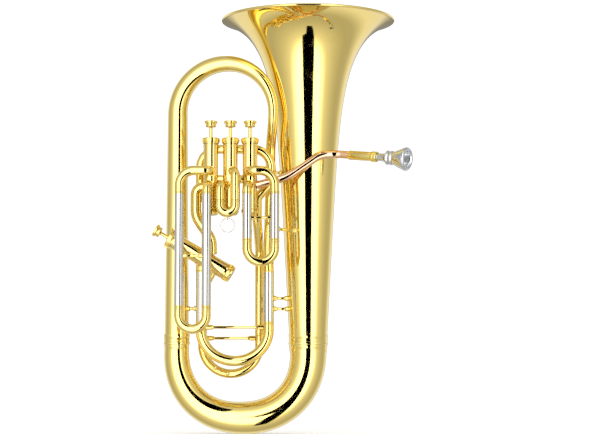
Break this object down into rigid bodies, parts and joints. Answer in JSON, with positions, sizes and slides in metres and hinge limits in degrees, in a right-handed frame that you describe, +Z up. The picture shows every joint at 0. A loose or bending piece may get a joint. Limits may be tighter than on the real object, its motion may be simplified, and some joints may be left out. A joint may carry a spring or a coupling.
{
  "type": "baritone horn",
  "caption": "Bell-up valved brass horn with front pistons, a slanted low piston, pull-out tuning slides, a compensating loop and a cup mouthpiece.",
  "frame": {"origin": "lowest point of the bottom bow, midway between the bell axis and the left branch", "axes": "+Z up along the bell axis and out of the bell; +X from the left branch to the bell; -Y towards the valves and front slides"},
  "size_m": [0.4217, 0.2894, 0.6899],
  "materials": {
    "lacquered_brass": "polished brass under clear lacquer",
    "nickel_silver": "polished nickel silver",
    "rose_brass": "polished rose brass under clear lacquer",
    "silver_plate": "polished silver plate",
    "spring_steel": "plain wire"
  },
  "bodies": {
    "horn": {"bell": "lacquered_brass", "bell_brace_lower": "lacquered_brass", "bell_brace_upper": "lacquered_brass", "bell_ferrule": "lacquered_brass", "bottom_bow": "lacquered_brass", "bottom_cap_1": "lacquered_brass", "bottom_cap_2": "lacquered_brass", "bottom_cap_3": "lacquered_brass", "bottom_cap_4": "lacquered_brass", "branch_brace": "lacquered_brass", "branch_ferrule": "lacquered_brass", "compensating_tube": "lacquered_brass", "first_elbow": "lacquered_brass", "first_knuckle": "lacquered_brass", "first_sleeves": "nickel_silver", "fourth_loop_tube": "lacquered_brass", "intervalve_tube_1": "lacquered_brass", "intervalve_tube_2": "lacquered_brass", "leadpipe": "rose_brass", "left_branch": "lacquered_brass", "main_knuckle": "lacquered_brass", "main_sleeve_left": "nickel_silver", "main_sleeve_right": "nickel_silver", "mouthpiece_receiver": "rose_brass", "second_lower_knuckle": "lacquered_brass", "second_upper_knuckle": "lacquered_brass", "slide_brace": "lacquered_brass", "third_elbow": "lacquered_brass", "third_knuckle": "lacquered_brass", "third_sleeves": "nickel_silver", "top_bow": "lacquered_brass", "top_cap_1": "lacquered_brass", "top_cap_2": "lacquered_brass", "top_cap_3": "lacquered_brass", "top_cap_4": "lacquered_brass", "transfer_tube": "lacquered_brass", "valve_casing_1": "lacquered_brass", "valve_casing_2": "lacquered_brass", "valve_casing_3": "lacquered_brass", "valve_casing_4": "lacquered_brass", "valve_spring_1": "spring_steel", "valve_spring_2": "spring_steel", "valve_spring_3": "spring_steel", "valve_spring_4": "spring_steel"},
    "piston_body_1": {"piston_1": "nickel_silver", "finger_button_1": "lacquered_brass"},
    "piston_body_2": {"piston_2": "nickel_silver", "finger_button_2": "lacquered_brass"},
    "piston_body_3": {"piston_3": "nickel_silver", "finger_button_3": "lacquered_brass"},
    "piston_body_4": {"piston_4": "nickel_silver", "finger_button_4": "lacquered_brass"},
    "main_slide": {"main_crook": "lacquered_brass"},
    "first_slide": {"first_crook": "lacquered_brass"},
    "second_slide": {"second_crook": "lacquered_brass"},
    "third_slide": {"third_crook": "lacquered_brass"},
    "fourth_slide": {"fourth_crook": "lacquered_brass"},
    "ring_body": {"pull_ring": "nickel_silver"},
    "key_body": {"water_key": "lacquered_brass"},
    "mouthpiece_body": {"mouthpiece": "silver_plate"}
  },
  "joints": [
    {"name": "piston_1_press", "type": "slide", "parent": "horn", "child": "piston_body_1", "axis": [0, 0, -1], "range_m": [0, 0.017], "stiffness_N_per_m": 180, "springref_m": -0.012, "deforming": ["valve_spring_1"]},
    {"name": "piston_2_press", "type": "slide", "parent": "horn", "child": "piston_body_2", "axis": [0, 0, -1], "range_m": [0, 0.017], "stiffness_N_per_m": 180, "springref_m": -0.012, "deforming": ["valve_spring_2"]},
    {"name": "piston_3_press", "type": "slide", "parent": "horn", "child": "piston_body_3", "axis": [0, 0, -1], "range_m": [0, 0.017], "stiffness_N_per_m": 180, "springref_m": -0.012, "deforming": ["valve_spring_3"]},
    {"name": "piston_4_press", "type": "slide", "parent": "horn", "child": "piston_body_4", "axis": [0.8616, 0, -0.5075], "range_m": [0, 0.014], "stiffness_N_per_m": 180, "springref_m": -0.012, "deforming": ["valve_spring_4"]},
    {"name": "main_slide_pull", "type": "slide", "parent": "horn", "child": "main_slide", "axis": [0, 0, -1], "range_m": [0, 0.038]},
    {"name": "first_slide_pull", "type": "slide", "parent": "horn", "child": "first_slide", "axis": [0, 0, -1], "range_m": [0, 0.05]},
    {"name": "second_slide_pull", "type": "slide", "parent": "horn", "child": "second_slide", "axis": [0, 0, -1], "range_m": [0, 0.009]},
    {"name": "third_slide_pull", "type": "slide", "parent": "horn", "child": "third_slide", "axis": [0, 0, -1], "range_m": [0, 0.08]},
    {"name": "fourth_slide_pull", "type": "slide", "parent": "horn", "child": "fourth_slide", "axis": [0, 0, -1], "range_m": [0, 0.028]},
    {"name": "pull_ring_swing", "type": "hinge", "parent": "second_slide", "child": "ring_body", "pos_m": [-0.02265, -0.076, 0.34986], "axis": [1, 0, 0], "range_deg": [-75, 75]},
    {"name": "water_key_rock", "type": "hinge", "parent": "fourth_slide", "child": "key_body", "pos_m": [-0.04575, 0.0013, 0.10741], "axis": [-0.5592, 0, -0.829], "range_deg": [0, 6], "stiffness_Nm_per_rad": 0.05, "springref_deg": -11.46},
    {"name": "mouthpiece_pull", "type": "slide", "parent": "horn", "child": "mouthpiece_body", "axis": [0.8557, -0.5028, -0.122], "range_m": [0, 0.022]}
  ]
}
